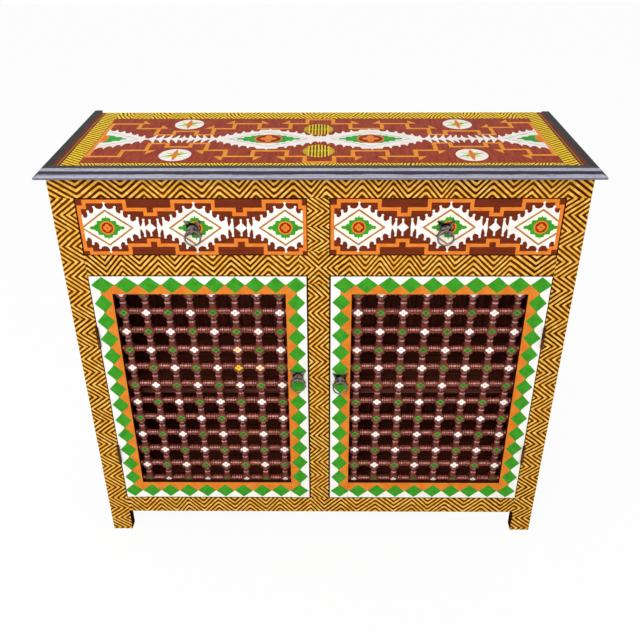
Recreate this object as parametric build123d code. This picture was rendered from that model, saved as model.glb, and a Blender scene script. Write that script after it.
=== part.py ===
from build123d import *
import os
from math import cos, pi, sin

# A painted face-frame cabinet: two drawers over two doors filled with turned lattice.
# Millimetres. X runs left to right, Y from the front to the back, Z up from the floor.

# ---- overall sizes ----
body_width = 1007.0
body_depth = 358.0
overall_height = 915.0
top_overhang = 17.5
top_thickness = 18.0

# ---- face frame ----
post_width = 45.0
frame_thickness = 25.0
leg_height = 58.5
bottom_rail_height = 44.0
middle_rail_height = 44.0
top_rail_height = 41.0
drawer_opening_height = 118.0
mullion_width = 42.0
mullion_offset = -2.5
tenon_thickness = 10.0
tenon_length = 22.0
mullion_tenon_length = 14.0
tenon_shoulder = 5.0
joint_clearance = 0.1
edge_round = 0.8
overcut = 1.0

# ---- side boards, back and floor ----
side_thickness = 20.0
tongue_thickness = 8.0
tongue_length = 7.0
back_thickness = 8.0
rear_rail_height = 60.0
floor_thickness = 16.0
floor_stop_height = 8.0
shelf_thickness = 12.0
shelf_rise = 262.0
shelf_setback = 50.0
board_clearance = 0.3
batten_width = 20.0
batten_height = 20.0
batten_end_gap = 15.0

# ---- top edging ----
edging_width = 30.0
edging_roll_out = 6.0
edging_roll_radius = 4.5
edging_cove_width = 3.5
edging_cove_height = 8.0
edging_lip_radius = 3.2
edging_lip_fillet = 1.5
left_end_reach = 20.0
right_end_reach = 8.0
left_end_round = 24.0

# ---- drawers ----
drawer_gap = 1.5
drawer_front_thickness = 20.0
drawer_side_headroom = 12.7
drawer_board = 12.0
drawer_bottom_thickness = 4.0
drawer_groove_depth = 5.0
drawer_groove_height = 10.0
drawer_side_clearance = 1.0
drawer_slide_clearance = 0.3
drawer_rear_gap = 1.0
kicker_clearance = 1.7
runner_thickness = 20.0
runner_guide_height = 18.0
runner_overreach = 9.0

# ---- doors ----
door_stop_gap = 0.5
door_stile_width = 42.0
door_top_rail_width = 40.0
door_bottom_rail_width = 46.0
door_hinge_gap = 1.5
door_latch_gap = 3.0
door_gap = 2.0
door_tenon_length = 24.0
lattice_setback = 10.0

# ---- turned lattice ----
lattice_depth = 14.5
block_size = 21.5
block_corner = 4.0
column_pitch_target = 45.0
row_pitch_target = 44.5
end_column_inset = 14.0
bottom_row_inset = 1.0
top_row_inset = 3.5
stub_length = 2.25
rebate_width = block_size / 2 - bottom_row_inset + stub_length
bead_radius = 7.2
bead_length = 10.6
bead_shoulder = 1.0
neck_radius = 5.8
spindle_radius = 6.6
spindle_land = 3.0
spindle_ring_radius = 7.2
spindle_ring_length = 4.0
spindle_cove_radius = 6.0

# ---- hinges ----
hinge_length = 48.0
hinge_leaf_width = 16.0
hinge_leaf_thickness = 1.2
knuckle_radius = 3.0
knuckle_stand_off = 3.2
knuckle_gap = 0.3
hinge_pin_radius = 1.5
pin_clearance = 0.05
leaf_fit = 0.05
hinge_low_rise = 136.0
hinge_high_drop = 143.0

# ---- ring pulls ----
plate_size = 33.0
plate_thickness = 2.5
plate_waist = 5.0
plate_corner_round = 1.4
boss_foot_radius = 8.0
boss_foot_rise = 0.8
boss_waist_radius = 6.0
boss_flange_radius = 9.5
boss_flange_out = 8.0
boss_flange_edge = 0.8
boss_bevel = 1.0
boss_neck_radius = 5.0
eye_radius = 4.6
eye_land = 1.6
ring_out = 13.0
ring_wire_radius = 1.7
ring_outer_radius = 16.5
eye_bore_radius = 2.7
pull_stem_radius = 2.5
stem_head_radius = 5.0
stem_head_thickness = 2.0
stem_clearance = 0.1
drawer_pull_drop = 2.0
left_door_pull_drop = 242.0
right_door_pull_drop = 248.0

# ---- catches and screws ----
catch_radius = 4.0
catch_length = 12.0
catch_fit = 0.05
catch_ball_radius = 2.5
catch_ball_proud = 1.1
catch_edge_inset = 20.0
screw_radius = 2.0
screw_head_radius = 4.0
screw_bite = 15.0
screw_tip = 0.01
screw_clearance = 0.05
screw_end_inset = 40.0

# ---- places worked out from the sizes above ----
overall_depth = top_overhang + body_depth + max(left_end_reach, right_end_reach)
front_y = top_overhang - overall_depth / 2
back_y = front_y + body_depth
half_width = body_width / 2
post_inner = half_width - post_width
side_inner = half_width - side_thickness
frame_back_y = front_y + frame_thickness
rear_frame_y = back_y - frame_thickness
panel_y = rear_frame_y - back_thickness
rail_low = leg_height
door_low = rail_low + bottom_rail_height
top_under = overall_height - top_thickness
drawer_high = top_under - top_rail_height
drawer_low = drawer_high - drawer_opening_height
door_high = drawer_low - middle_rail_height
mullion_left = mullion_offset - mullion_width / 2
mullion_right = mullion_offset + mullion_width / 2
floor_top = door_low + floor_stop_height
floor_under = floor_top - floor_thickness
shelf_height = floor_top + shelf_rise
door_thickness = frame_thickness - door_stop_gap
frame_middle_y = front_y + frame_thickness / 2
rear_middle_y = back_y - frame_thickness / 2


def slab(x0, x1, y0, y1, z0, z1):
    """A box between two corners."""
    centre = Pos((x0 + x1) / 2, (y0 + y1) / 2, (z0 + z1) / 2)
    return centre * Box(abs(x1 - x0), abs(y1 - y0), abs(z1 - z0))


def soft_slab(x0, x1, y0, y1, z0, z1, axis):
    """A box whose edges along one axis are slightly rounded."""
    body = slab(x0, x1, y0, y1, z0, z1)
    return fillet(body.edges().filter_by(axis), edge_round)


def mirrored(side, shape):
    """The shape itself for the right side (+1), or its mirror image for the left (-1)."""
    return shape if side > 0 else mirror(shape, about=Plane.YZ)


def tenon(x0, x1, middle_y, z0, z1, play=0.0):
    """A tenon, or with play the mortise that it fits."""
    half = tenon_thickness / 2 + play
    return slab(x0, x1, middle_y - half, middle_y + half, z0 - play, z1 + play)


def rod(x, y, z, radius, length, axis):
    """A round bar that starts at a point and runs along +X, +Y or +Z."""
    turn = {"x": Rot(0, 90, 0), "y": Rot(-90, 0, 0), "z": Rot(0, 0, 0)}[axis]
    return Pos(x, y, z) * turn * Pos(0, 0, length / 2) * Cylinder(radius, length)


# ---- face frame ----

front_rails = {
    "bottom": (rail_low, door_low),
    "middle": (door_high, drawer_low),
    "top": (drawer_high, top_under),
}
rear_rails = {
    "bottom": (rail_low, door_low),
    "top": (top_under - rear_rail_height, top_under),
}


def rail_tenons(rails, middle_y, play=0.0):
    """The right-hand tenon of every rail in a set."""
    reach = post_inner + tenon_length + play
    return [
        tenon(post_inner - overcut, reach, middle_y, low + tenon_shoulder, high - tenon_shoulder, play)
        for low, high in rails.values()
    ]


def side_tongue(y0, y1, play=0.0):
    """The tongue on a right-hand side board's edge, between two depths."""
    middle = half_width - side_thickness / 2
    half = tongue_thickness / 2 + play
    return slab(middle - half, middle + half, y0, y1, rail_low - play, top_under)


def front_post(side):
    post = soft_slab(post_inner, half_width, front_y, frame_back_y, 0, top_under, Axis.Z)
    for cut in rail_tenons(front_rails, frame_middle_y, joint_clearance):
        post -= cut
    groove_end = frame_back_y - tongue_length - joint_clearance
    post -= side_tongue(groove_end, frame_back_y + overcut, joint_clearance)
    for z in hinge_heights:
        post -= leaf_pocket(z)
    return mirrored(side, post)


def rear_post(side):
    post = soft_slab(post_inner, half_width, rear_frame_y, back_y, 0, top_under, Axis.Z)
    for cut in rail_tenons(rear_rails, rear_middle_y, joint_clearance):
        post -= cut
    groove_end = rear_frame_y + tongue_length + joint_clearance
    post -= side_tongue(rear_frame_y - overcut, groove_end, joint_clearance)
    return mirrored(side, post)


def rail(low, high, y0, y1, middle_y):
    """A rail between two posts, with a tenon at each end."""
    body = soft_slab(-post_inner, post_inner, y0, y1, low, high, Axis.X)
    for side in (-1, 1):
        root = side * (post_inner - overcut)
        tip = side * (post_inner + tenon_length)
        body += tenon(root, tip, middle_y, low + tenon_shoulder, high - tenon_shoulder)
    return body


def mullion_tenon(z0, z1, play=0.0):
    """A centre stile's tenon between two heights, or with play its mortise."""
    low = mullion_left + tenon_shoulder
    high = mullion_right - tenon_shoulder
    half = tenon_thickness / 2 + play
    middle = frame_middle_y
    return slab(low - play, high + play, middle - half, middle + half, z0, z1)


def mullion(low, high):
    body = soft_slab(mullion_left, mullion_right, front_y, frame_back_y, low, high, Axis.Z)
    body += mullion_tenon(low - mullion_tenon_length, low + overcut)
    body += mullion_tenon(high - overcut, high + mullion_tenon_length)
    return body


def front_rail(name):
    low, high = front_rails[name]
    body = rail(low, high, front_y, frame_back_y, frame_middle_y)
    reach = mullion_tenon_length + joint_clearance
    if name != "bottom":
        body -= mullion_tenon(low - overcut, low + reach, joint_clearance)
    if name != "top":
        body -= mullion_tenon(high - reach, high + overcut, joint_clearance)
    if name == "middle":
        for x in catch_places:
            hole = catch_radius + catch_fit
            body -= rod(x, frame_middle_y, low - overcut, hole, catch_length + overcut, "z")
    return body


# ---- side boards, back, floor, shelf and battens ----

batten_heights = (shelf_height - batten_height, floor_under - batten_height)
batten_front = frame_back_y + batten_end_gap
batten_back = panel_y - batten_end_gap
batten_screw_ys = (batten_front + screw_end_inset, batten_back - screw_end_inset)
batten_screws = [(y, z + batten_height / 2) for y in batten_screw_ys for z in batten_heights]
guide_screw_z = drawer_low + runner_guide_height / 2
guide_screws = [(y, guide_screw_z) for y in batten_screw_ys]


def side_screw(y, z, face, play=0.0):
    """A right-hand screw, or with play its hole, from its flush head to its tip in the side board."""
    head = screw_head_radius + play
    shank = rod(face, y, z, screw_radius + play, side_inner + screw_bite + play - face, "x")
    cone = Pos(face + head / 2, y, z) * Rot(0, 90, 0) * Cone(head, screw_tip, head)
    return shank + cone


def side_screws(play=0.0):
    batten_face = side_inner - batten_width
    shorter = [side_screw(y, z, batten_face, play) for y, z in batten_screws]
    return shorter + [side_screw(y, z, post_inner, play) for y, z in guide_screws]


def side_board(side):
    board = slab(side_inner, half_width, frame_back_y, rear_frame_y, rail_low, top_under)
    edges = board.edges().filter_by(Axis.Z).group_by(Axis.X)[-1]
    board = fillet(edges, edge_round)
    board += side_tongue(frame_back_y - tongue_length, frame_back_y + overcut)
    board += side_tongue(rear_frame_y - overcut, rear_frame_y + tongue_length)
    for hole in side_screws(screw_clearance):
        board -= hole
    return mirrored(side, board)


def back_panel():
    reach = side_inner - board_clearance
    return slab(-reach, reach, panel_y, rear_frame_y, rail_low, top_under - board_clearance)


def floor_board():
    reach = side_inner - board_clearance
    return slab(-reach, reach, frame_back_y, panel_y, floor_under, floor_top)


def shelf():
    reach = side_inner - board_clearance
    edge = front_y + shelf_setback
    board = slab(-reach, reach, edge, panel_y, shelf_height, shelf_height + shelf_thickness)
    return fillet(board.edges().filter_by(Axis.X).group_by(Axis.Y)[0], edge_round)


def battens():
    """Four equal battens: two carry the floor and two carry the shelf."""
    cuts = side_screws(screw_clearance)
    made = []
    for low in batten_heights:
        high = low + batten_height
        bar = slab(side_inner - batten_width, side_inner, batten_front, batten_back, low, high)
        for hole in cuts:
            bar -= hole
        made += [mirrored(side, bar) for side in (-1, 1)]
    return made


def screws():
    return [mirrored(side, one) for side in (-1, 1) for one in side_screws()]


# ---- drawer runners and kickers ----

runner_reach = drawer_side_clearance + drawer_board + runner_overreach


def outer_runner(side):
    low = drawer_low - runner_thickness
    body = slab(post_inner - runner_reach, side_inner, frame_back_y, panel_y, low, drawer_low)
    body += slab(post_inner, side_inner, frame_back_y, panel_y, low, drawer_low + runner_guide_height)
    for hole in side_screws(screw_clearance):
        body -= hole
    return mirrored(side, body)


def centre_runner():
    low = drawer_low - runner_thickness
    left = mullion_left - runner_reach
    right = mullion_right + runner_reach
    body = slab(left, right, frame_back_y, panel_y, low, drawer_low)
    guide_top = drawer_low + runner_guide_height
    return body + slab(mullion_left, mullion_right, frame_back_y, panel_y, low, guide_top)


def kickers():
    """Battens under the top that keep an open drawer from tipping."""
    low = drawer_high - drawer_side_headroom + kicker_clearance
    right = slab(post_inner - runner_reach, post_inner, frame_back_y, panel_y, low, top_under)
    left = mullion_left - runner_reach
    middle = slab(left, mullion_right + runner_reach, frame_back_y, panel_y, low, top_under)
    return [mirrored(-1, right), middle, right]


# ---- top and its edging ----

def edging_profile(inner):
    """The edging's outline as (out, up) from the body's face and the underside of the top."""
    crown = top_thickness
    roll_drop = edging_roll_radius * (1 - sin(pi / 4))
    roll_start = (edging_roll_out - edging_roll_radius, crown)
    roll_middle = (edging_roll_out - roll_drop, crown - roll_drop)
    roll_end = (edging_roll_out, crown - edging_roll_radius)
    cove_rise = roll_end[1] - edging_cove_height
    cove_middle = (
        edging_roll_out + edging_cove_width * (1 - cos(pi / 4)),
        roll_end[1] - cove_rise * sin(pi / 4),
    )
    cove_foot = (edging_roll_out + edging_cove_width, edging_cove_height)
    lip_start = (top_overhang - edging_lip_radius, 2 * edging_lip_radius)
    lip_middle = (top_overhang, edging_lip_radius)
    lip_foot = (top_overhang - edging_lip_radius, 0)
    shoulder = (lip_start[0] - edging_lip_fillet, lip_start[1] + edging_lip_fillet / 2)
    return [
        Polyline(lip_foot, (inner, 0), (inner, crown), roll_start),
        ThreePointArc(roll_start, roll_middle, roll_end),
        ThreePointArc(roll_end, cove_middle, cove_foot),
        Polyline(cove_foot, shoulder, lip_start),
        ThreePointArc(lip_start, lip_middle, lip_foot),
    ]


def edging_strip(plane, inner, length):
    edges = [edge for run in edging_profile(inner) for edge in run.edges()]
    outline = plane * Face(Wire(edges))
    return extrude(outline, amount=length, dir=-plane.z_dir)


def plan_prism(points, end_round=0.0):
    """An upright prism through the top, with its rearmost outer corner rounded if a radius is given."""
    outline = Face(Wire(Polyline(points, close=True)))
    if end_round:
        rear = outline.vertices().group_by(Axis.Y)[-1].sort_by(Axis.X)[-1]
        outline = outline.fillet_2d(end_round, [rear])
    low = Pos(0, 0, top_under - overcut) * outline
    return extrude(low, amount=top_thickness + 2 * overcut, dir=(0, 0, 1))


tip_x = half_width + top_overhang
tip_y = front_y - top_overhang
front_seam_y = tip_y + edging_width
side_seam_x = tip_x - edging_width


def front_edging():
    start = Plane(origin=(-tip_x, front_y, top_under), x_dir=(0, -1, 0), z_dir=(-1, 0, 0))
    strip = edging_strip(start, front_y - front_seam_y, 2 * tip_x)
    corners = [(-tip_x, tip_y), (tip_x, tip_y), (side_seam_x, front_seam_y), (-side_seam_x, front_seam_y)]
    return strip & plan_prism(corners)


def side_edging(side):
    """One side's edging, which ends behind the board. The left one's rear corner is rounded off."""
    end_y = back_y + (left_end_reach if side < 0 else right_end_reach)
    start = Plane(origin=(half_width, tip_y, top_under), x_dir=(1, 0, 0), z_dir=(0, -1, 0))
    strip = edging_strip(start, side_seam_x - half_width, end_y - tip_y)
    corners = [
        (tip_x, tip_y),
        (tip_x, end_y),
        (side_seam_x, end_y),
        (side_seam_x, front_seam_y),
    ]
    end_round = left_end_round if side < 0 else 0.0
    return mirrored(side, strip & plan_prism(corners, end_round))


def top_board():
    return slab(-side_seam_x, side_seam_x, front_seam_y, back_y, top_under, overall_height)


# ---- hinges ----

hinge_axis_x = post_inner - door_hinge_gap / 2
hinge_axis_y = front_y - knuckle_stand_off
hinge_heights = (door_low + hinge_low_rise, door_high - hinge_high_drop)


def leaf_pocket(z, play=leaf_fit):
    """The shallow pocket in the right-hand post that a hinge leaf lies in."""
    outer = post_inner + hinge_leaf_thickness + play
    half = hinge_length / 2 + play
    depth = hinge_leaf_width + play
    return slab(post_inner - overcut, outer, front_y - overcut, front_y + depth, z - half, z + half)


def hinge_half(z, on_post):
    """One half of a right-hand hinge. The post's half is the lower knuckle and holds the pin."""
    half = hinge_length / 2
    if on_post:
        inner, outer = post_inner, post_inner + hinge_leaf_thickness
        low, high = z - half, z - knuckle_gap / 2
    else:
        edge = post_inner - door_hinge_gap
        inner, outer = edge - hinge_leaf_thickness, edge
        low, high = z + knuckle_gap / 2, z + half
    leaf = slab(inner, outer, front_y + knuckle_gap, front_y + hinge_leaf_width, z - half, z + half)
    leaf += slab(inner, outer, hinge_axis_y, front_y + knuckle_gap + overcut, low, high)
    leaf += rod(hinge_axis_x, hinge_axis_y, low, knuckle_radius, high - low, "z")
    start = (hinge_axis_x, hinge_axis_y, high - overcut if on_post else low - overcut)
    if on_post:
        return leaf + rod(*start, hinge_pin_radius, half - overcut, "z")
    return leaf - rod(*start, hinge_pin_radius + pin_clearance, half - overcut, "z")


def hinge_halves(side, on_post):
    return [mirrored(side, hinge_half(z, on_post)) for z in hinge_heights]


# ---- ring pulls ----

def pull_plate():
    """The four-lobed plate, lying in XY with its back at zero."""
    half = plate_size / 2
    bow = plate_waist
    reach = half - 2 * plate_corner_round
    rise = (reach * reach + bow * bow) / (2 * bow)
    plate = extrude(RectangleRounded(plate_size, plate_size, plate_corner_round), plate_thickness)
    for turn in range(4):
        centre = Rot(0, 0, 90 * turn) * Pos(half - bow + rise, 0, plate_thickness / 2)
        plate -= centre * Cylinder(rise, 2 * plate_thickness)
    return plate


def boss_profile():
    """Half the boss's outline as (radius, height above the plate's back)."""
    root = plate_thickness / 2
    foot = plate_thickness + boss_foot_rise
    flange = boss_flange_out
    edge = flange - boss_flange_edge
    tip = ring_out + eye_radius
    return Polyline(
        (0, root),
        (boss_foot_radius, root),
        (boss_foot_radius, foot),
        (boss_waist_radius, foot + boss_bevel),
        (boss_waist_radius, edge - 2 * boss_bevel),
        (boss_flange_radius - boss_bevel, edge - boss_bevel),
        (boss_flange_radius, edge),
        (boss_flange_radius, flange),
        (boss_neck_radius, flange + boss_bevel),
        (boss_neck_radius - boss_bevel, ring_out - eye_land - boss_bevel),
        (eye_radius, ring_out - eye_land),
        (eye_radius, ring_out + eye_land),
        (eye_radius / 2, tip),
        (0, tip),
        close=True,
    )


def pull_mount(x, z, board_thickness):
    """Plate, boss and stem cast as one, seated on the front face at (x, z)."""
    outline = Plane.XZ * Face(Wire(boss_profile()))
    stem = Cylinder(pull_stem_radius, board_thickness + plate_thickness)
    head = Cylinder(stem_head_radius, stem_head_thickness)
    body = pull_plate() + revolve(outline, Axis.Z)
    body += Pos(0, 0, -board_thickness / 2) * stem
    body += Pos(0, 0, -board_thickness - stem_head_thickness / 2) * head
    body -= Pos(0, 0, ring_out) * Rot(0, 90, 0) * Cylinder(eye_bore_radius, 4 * eye_radius)
    return Pos(x, front_y, z) * Rot(90, 0, 0) * body


def stem_hole(x, z, board_thickness):
    radius = pull_stem_radius + stem_clearance
    return rod(x, front_y - overcut, z, radius, board_thickness + 2 * overcut, "y")


def pull_ring(x, z):
    """A ring that hangs with its top wire through the boss's eye."""
    centre_line = ring_outer_radius - ring_wire_radius
    torus = Rot(90, 0, 0) * Torus(centre_line, ring_wire_radius)
    return Pos(x, front_y - ring_out, z - centre_line) * torus


# ---- drawers ----

drawer_bays = {"left": (-post_inner, mullion_left), "right": (mullion_right, post_inner)}
drawer_back_y = panel_y - drawer_rear_gap
drawer_box_front = front_y + drawer_front_thickness
drawer_box_low = drawer_low + drawer_slide_clearance
drawer_box_high = drawer_high - drawer_side_headroom
drawer_pull_height = (drawer_low + drawer_high) / 2 - drawer_pull_drop
bottom_low = drawer_box_low + drawer_groove_height
bottom_high = bottom_low + drawer_bottom_thickness


def drawer_bottom_slab(left, right, play=0.0):
    """The drawer's thin bottom, or with play the grooves it slides in."""
    inset = drawer_board - drawer_groove_depth
    x0 = left + drawer_side_clearance + inset - play
    x1 = right - drawer_side_clearance - inset + play
    y0 = drawer_box_front - drawer_groove_depth - play
    return slab(x0, x1, y0, drawer_back_y + play, bottom_low - play, bottom_high + play)


def drawer(name):
    left, right = drawer_bays[name]
    middle = (left + right) / 2
    groove = drawer_bottom_slab(left, right, joint_clearance)
    box_left = left + drawer_side_clearance
    box_right = right - drawer_side_clearance
    low = drawer_low + drawer_gap
    high = drawer_high - drawer_gap
    front = slab(left + drawer_gap, right - drawer_gap, front_y, drawer_box_front, low, high)
    front = fillet(front.edges().group_by(Axis.Y)[0], edge_round)
    front -= groove
    front -= stem_hole(middle, drawer_pull_height, drawer_front_thickness)
    sides = {}
    for end, x0 in (("left", box_left), ("right", box_right - drawer_board)):
        run = (drawer_box_front, drawer_back_y, drawer_box_low, drawer_box_high)
        sides[end] = slab(x0, x0 + drawer_board, *run) - groove
    inner = (box_left + drawer_board, box_right - drawer_board)
    back = slab(*inner, drawer_back_y - drawer_board, drawer_back_y, bottom_high, drawer_box_high)
    stem = "drawer_" + name
    return {
        stem + "_front": front,
        stem + "_side_left": sides["left"],
        stem + "_side_right": sides["right"],
        stem + "_back": back,
        stem + "_bottom": drawer_bottom_slab(left, right),
        stem + "_pull_mount": pull_mount(middle, drawer_pull_height, drawer_front_thickness),
        stem + "_ring": pull_ring(middle, drawer_pull_height),
    }


# ---- turned lattice ----

def turned(outline):
    """A turned piece about the X axis from (distance, radius) points."""
    ends = [(outline[0][0], 0), *outline, (outline[-1][0], 0)]
    return revolve(Face(Wire(Polyline(ends, close=True))), Axis.X)


def bead(middle):
    """The outline of one round bead."""
    half = bead_length / 2
    step = half / 2
    return [
        (middle - half, neck_radius),
        (middle - step, bead_radius - bead_shoulder),
        (middle - step / 2, bead_radius),
        (middle + step / 2, bead_radius),
        (middle + step, bead_radius - bead_shoulder),
        (middle + half, neck_radius),
    ]


def lattice_block():
    """A block with cut corners where a bar and a spindle cross."""
    block = Box(block_size, lattice_depth, block_size)
    return chamfer(block.edges().filter_by(Axis.Y), block_corner)


def even_places(first, last, pitch_target):
    """Evenly spaced places from the first to the last, as near to the target pitch as they can be."""
    span = last - first
    count = max(2, round(span / pitch_target) + 1)
    return [first + span * i / (count - 1) for i in range(count)]


def lattice_bar(x_low, x_high, columns):
    """One horizontal bar, about the X axis: turned beads between the blocks."""
    half = block_size / 2
    outline = [(x_low, spindle_radius)]
    for before, after in zip(columns, columns[1:]):
        gap = after - before - block_size
        outline += bead(before + half + gap / 4) + bead(before + half + gap * 3 / 4)
    outline.append((x_high, spindle_radius))
    bar = turned(outline)
    for x in columns:
        bar += Pos(x, 0, 0) * lattice_block()
    return bar


def spindle(low, high):
    """One short upright spindle, about the Z axis, from one block to the next."""
    middle = (low + high) / 2
    ring = spindle_ring_length / 2
    outline = [
        (low, spindle_radius),
        (low + spindle_land, spindle_radius),
        (middle - 2 * ring, spindle_cove_radius),
        (middle - ring, spindle_ring_radius),
        (middle + ring, spindle_ring_radius),
        (middle + 2 * ring, spindle_cove_radius),
        (high - spindle_land, spindle_radius),
        (high, spindle_radius),
    ]
    return Rot(0, -90, 0) * turned(outline)


def stub(low, high):
    return Pos(0, 0, (low + high) / 2) * Cylinder(spindle_radius, high - low)


# ---- doors ----

door_spans = {
    "left": (-post_inner + door_hinge_gap, mullion_left - door_latch_gap),
    "right": (mullion_right + door_latch_gap, post_inner - door_hinge_gap),
}
door_pull_heights = {
    "left": door_high - left_door_pull_drop,
    "right": door_high - right_door_pull_drop,
}
door_bottom = door_low + door_gap
door_top = door_high - door_gap
door_back_y = front_y + door_thickness
lattice_front_y = front_y + lattice_setback
lattice_middle_y = lattice_front_y + lattice_depth / 2
catch_places = [
    door_spans["left"][1] - catch_edge_inset,
    door_spans["right"][0] + catch_edge_inset,
]
door_rails = {
    "bottom": (door_bottom, door_bottom + door_bottom_rail_width),
    "top": (door_top - door_top_rail_width, door_top),
}


def door_tenon(x0, x1, low, high, play=0.0):
    """A tenon on a door rail. It stays in front of the rebate."""
    thick = lattice_setback / 2
    y0 = front_y + thick / 2
    inset = tenon_shoulder + rebate_width / 2
    return slab(x0, x1, y0 - play, y0 + thick + play, low + inset - play, high - inset + play)


def door_leaf_pocket(z, play=leaf_fit):
    """The shallow pocket in a right-hand door's edge that its hinge leaf lies in."""
    edge = post_inner - door_hinge_gap
    inner = edge - hinge_leaf_thickness - play
    half = hinge_length / 2 + play
    depth = hinge_leaf_width + play
    return slab(inner, edge + overcut, front_y - overcut, front_y + depth, z - half, z + half)


def door_stile(kind, side, outer_x, pull_z, rebate):
    """The hinge stile, or the latch stile with the hole for its pull, whose outer edge is at outer_x."""
    inward = -side if kind == "hinge" else side
    root = outer_x + inward * door_stile_width
    low, high = sorted((outer_x, root))
    stile = slab(low, high, front_y, door_back_y, door_bottom, door_top)
    stile = fillet(stile.edges().filter_by(Axis.Z).group_by(Axis.Y)[0], edge_round)
    stile -= rebate
    start = root + inward * overcut
    tip = root - inward * (door_tenon_length + joint_clearance)
    for rail_low_z, rail_high_z in door_rails.values():
        stile -= door_tenon(start, tip, rail_low_z, rail_high_z, joint_clearance)
    if kind == "latch":
        return stile - stem_hole((low + high) / 2, pull_z, door_thickness)
    for z in hinge_heights:
        stile -= mirrored(side, door_leaf_pocket(z))
    return stile


def door_rail(low, high, opening_x, rebate):
    body = slab(*opening_x, front_y, door_back_y, low, high)
    body = fillet(body.edges().filter_by(Axis.X).group_by(Axis.Y)[0], edge_round)
    body -= rebate
    left, right = opening_x
    body += door_tenon(left + overcut, left - door_tenon_length, low, high)
    body += door_tenon(right - overcut, right + door_tenon_length, low, high)
    return body


def lattice(opening_x, opening_z):
    """The lattice's horizontal bars and its short upright spindles, let into the rebate on all sides."""
    left, right = opening_x[0] + end_column_inset, opening_x[1] - end_column_inset
    bottom, top = opening_z[0] + bottom_row_inset, opening_z[1] - top_row_inset
    columns = even_places(left, right, column_pitch_target)
    rows = even_places(bottom, top, row_pitch_target)
    bar = lattice_bar(opening_x[0] - rebate_width, opening_x[1] + rebate_width, columns)
    bars = [Pos(0, lattice_middle_y, z) * bar for z in rows]
    half = block_size / 2
    upright = spindle(rows[0] + half, rows[1] - half)
    spindles = []
    for x in columns:
        place = Pos(x, lattice_middle_y, 0)
        spindles += [place * Pos(0, 0, z - rows[0]) * upright for z in rows[:-1]]
        spindles.append(place * stub(opening_z[0] - rebate_width, rows[0] - half))
        spindles.append(place * stub(rows[-1] + half, opening_z[1] + rebate_width))
    return bars, spindles


def door(name):
    x_low, x_high = door_spans[name]
    side = -1 if name == "left" else 1
    hinge_x, latch_x = (x_low, x_high) if side < 0 else (x_high, x_low)
    opening_x = (x_low + door_stile_width, x_high - door_stile_width)
    opening_z = (door_rails["bottom"][1], door_rails["top"][0])
    rebate = slab(
        opening_x[0] - rebate_width,
        opening_x[1] + rebate_width,
        lattice_front_y,
        door_back_y + overcut,
        opening_z[0] - rebate_width,
        opening_z[1] + rebate_width,
    )
    pull_x = latch_x + side * door_stile_width / 2
    pull_z = door_pull_heights[name]
    bars, spindles = lattice(opening_x, opening_z)
    stem = "door_" + name
    made = {
        stem + "_hinge_stile": door_stile("hinge", side, hinge_x, pull_z, rebate),
        stem + "_latch_stile": door_stile("latch", side, latch_x, pull_z, rebate),
        stem + "_lattice_bars": bars,
        stem + "_lattice_spindles": spindles,
        stem + "_hinge_leaves": hinge_halves(side, False),
        stem + "_pull_mount": pull_mount(pull_x, pull_z, door_thickness),
        stem + "_ring": pull_ring(pull_x, pull_z),
    }
    for end, (low, high) in door_rails.items():
        made[stem + "_rail_" + end] = door_rail(low, high, opening_x, rebate)
    return made


# ---- bullet catches ----

def catches():
    """Small spring catches in the underside of the middle rail. The ball meets the door's top edge."""
    made = []
    for x in catch_places:
        barrel = rod(x, frame_middle_y, door_high, catch_radius, catch_length, "z")
        ball_z = door_high - catch_ball_proud + catch_ball_radius
        made.append(barrel + Pos(x, frame_middle_y, ball_z) * Sphere(catch_ball_radius))
    return made


# ---- every piece by its name ----

def all_parts():
    parts = {
        "front_post_left": front_post(-1),
        "front_post_right": front_post(1),
        "rear_post_left": rear_post(-1),
        "rear_post_right": rear_post(1),
        "drawer_mullion": mullion(drawer_low, drawer_high),
        "door_mullion": mullion(door_low, door_high),
        "side_board_left": side_board(-1),
        "side_board_right": side_board(1),
        "back_panel": back_panel(),
        "floor_board": floor_board(),
        "shelf": shelf(),
        "board_battens": battens(),
        "drawer_runner_left": outer_runner(-1),
        "drawer_runner_centre": centre_runner(),
        "drawer_runner_right": outer_runner(1),
        "drawer_kickers": kickers(),
        "top_board": top_board(),
        "top_edging_front": front_edging(),
        "top_edging_left": side_edging(-1),
        "top_edging_right": side_edging(1),
        "hinge_post_leaves": hinge_halves(-1, True) + hinge_halves(1, True),
        "door_catches": catches(),
        "carcass_screws": screws(),
    }
    for name in front_rails:
        parts["front_rail_" + name] = front_rail(name)
    for name, (low, high) in rear_rails.items():
        parts["rear_rail_" + name] = rail(low, high, rear_frame_y, back_y, rear_middle_y)
    for name in ("left", "right"):
        parts.update(drawer(name))
        parts.update(door(name))
    return parts


def write_parts():
    os.makedirs("parts", exist_ok=True)
    for name, shape in all_parts().items():
        solids = []
        for piece in shape if isinstance(shape, list) else [shape]:
            solids += piece.solids()
        whole = Compound(children=solids) if len(solids) > 1 else solids[0]
        export_step(whole, "parts/" + name + ".step")
        print(name, len(solids))


write_parts()
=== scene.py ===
import math

import bmesh
import bpy
from mathutils import Matrix, Vector, noise
from mathutils.geometry import tessellate_polygon


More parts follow.
